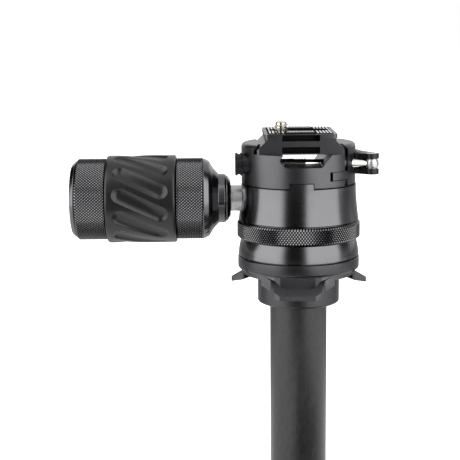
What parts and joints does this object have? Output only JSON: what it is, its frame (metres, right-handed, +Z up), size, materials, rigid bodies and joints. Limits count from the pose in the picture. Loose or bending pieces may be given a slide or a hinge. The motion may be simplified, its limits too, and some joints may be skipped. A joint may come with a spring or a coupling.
{
  "type": "leveling head",
  "caption": "Half-ball leveling head on a short column, with a twist-lock grip handle, knurled pan ring, hook lobes and a lever clamp holding a dovetail plate.",
  "frame": {"origin": "on the column's axis, in the plane of the collar's lower face", "axes": "+Z up along the column, handle along -X, clamp lever at +X, front at -Y"},
  "size_m": [0.1369, 0.06, 0.178],
  "materials": {
    "carbon": "matt carbon tube with a faint mottle",
    "black_anodised": "satin black anodised aluminium",
    "knurled_anodised": "black anodised aluminium with a diamond knurl",
    "bare_aluminium": "machined aluminium",
    "black_steel": "black oxide steel",
    "bright_steel": "bright turned steel",
    "bronze": "sintered bronze bush",
    "slip_plastic": "slippery liner",
    "grip_rubber": "matt black rubber"
  },
  "bodies": {
    "base": {"centre_column": "carbon", "column_insert": "bare_aluminium", "column_plug": "bare_aluminium", "hook_collar": "black_anodised", "collar_grub_screws": "black_steel", "base_plate": "black_anodised", "base_bolt": "black_steel", "half_ball": "black_anodised", "ball_screws": "black_steel"},
    "swivel": {"friction_liner": "slip_plastic"},
    "tilter": {"clamp_cup": "black_anodised"},
    "head": {"bell_housing": "black_anodised", "shaft_bushing": "bronze", "tail_bushing": "bronze", "clamp_body": "black_anodised", "body_screws": "black_steel", "guide_pin": "bright_steel", "jaw_spring": "bright_steel", "draw_rod": "bright_steel", "lever_barrel": "bright_steel"},
    "lock_ring": {"pan_lock_ring": "knurled_anodised"},
    "handle": {"handle_shaft": "bright_steel", "handle_cone": "black_anodised", "handle_barrel": "knurled_anodised", "rubber_sleeve": "grip_rubber", "end_cap": "black_anodised", "end_cap_screw": "black_steel"},
    "pull_bolt": {"draw_bolt": "bright_steel", "ball_clamp": "black_anodised", "clamp_nut": "black_steel"},
    "jaw": {"movable_jaw": "black_anodised"},
    "lever": {"clamp_lever": "black_steel"},
    "tensioner": {"tension_nut": "black_steel"},
    "plate": {"quick_plate": "black_anodised", "rubber_pad": "grip_rubber", "stop_pins": "bright_steel"},
    "screw_carrier": {"screw_washer": "bright_steel"},
    "camera_bolt": {"camera_screw": "bright_steel"}
  },
  "joints": [
    {"name": "ball_turn", "type": "hinge", "parent": "base", "child": "swivel", "pos_m": [0, 0, 0.021], "axis": [0, 0, 1], "continuous": true},
    {"name": "tilt", "type": "hinge", "parent": "swivel", "child": "tilter", "pos_m": [0, 0, 0.021], "axis": [1, 0, 0], "range_deg": [-15, 15]},
    {"name": "pan", "type": "hinge", "parent": "tilter", "child": "head", "pos_m": [0, 0, 0.04], "axis": [0, 0, 1], "continuous": true},
    {"name": "pan_lock", "type": "hinge", "parent": "head", "child": "lock_ring", "pos_m": [0, 0, 0.034], "axis": [0, 0, 1], "range_deg": [0, 60]},
    {"name": "handle_twist", "type": "hinge", "parent": "head", "child": "handle", "pos_m": [-0.03, 0, 0.04765], "axis": [1, 0, 0], "range_deg": [0, 90]},
    {"name": "ball_pull", "type": "slide", "parent": "head", "child": "pull_bolt", "axis": [0, 0, 1], "range_m": [-0.0004, 0]},
    {"name": "jaw_slide", "type": "slide", "parent": "head", "child": "jaw", "axis": [1, 0, 0], "range_m": [0, 0.0012]},
    {"name": "lever_swing", "type": "hinge", "parent": "head", "child": "lever", "pos_m": [0.0319, -0.0085, 0.0637], "axis": [0, 0, -1], "range_deg": [0, 95]},
    {"name": "tension_turn", "type": "hinge", "parent": "head", "child": "tensioner", "pos_m": [-0.027, -0.0085, 0.064], "axis": [1, 0, 0], "continuous": true},
    {"name": "plate_slide", "type": "slide", "parent": "head", "child": "plate", "axis": [0, -1, 0], "range_m": [0, 0.045]},
    {"name": "screw_shift", "type": "slide", "parent": "plate", "child": "screw_carrier", "axis": [1, 0, 0], "range_m": [0, 0.0156]},
    {"name": "screw_turn", "type": "hinge", "parent": "screw_carrier", "child": "camera_bolt", "pos_m": [-0.0078, 0, 0.075], "axis": [0, 0, 1], "continuous": true}
  ],
  "couplings": [
    {"joint": "ball_pull", "follows": "handle_twist", "m_per_rad": -0.00022282},
    {"joint": "jaw_slide", "follows": "lever_swing", "m_per_rad": 0.00072}
  ]
}
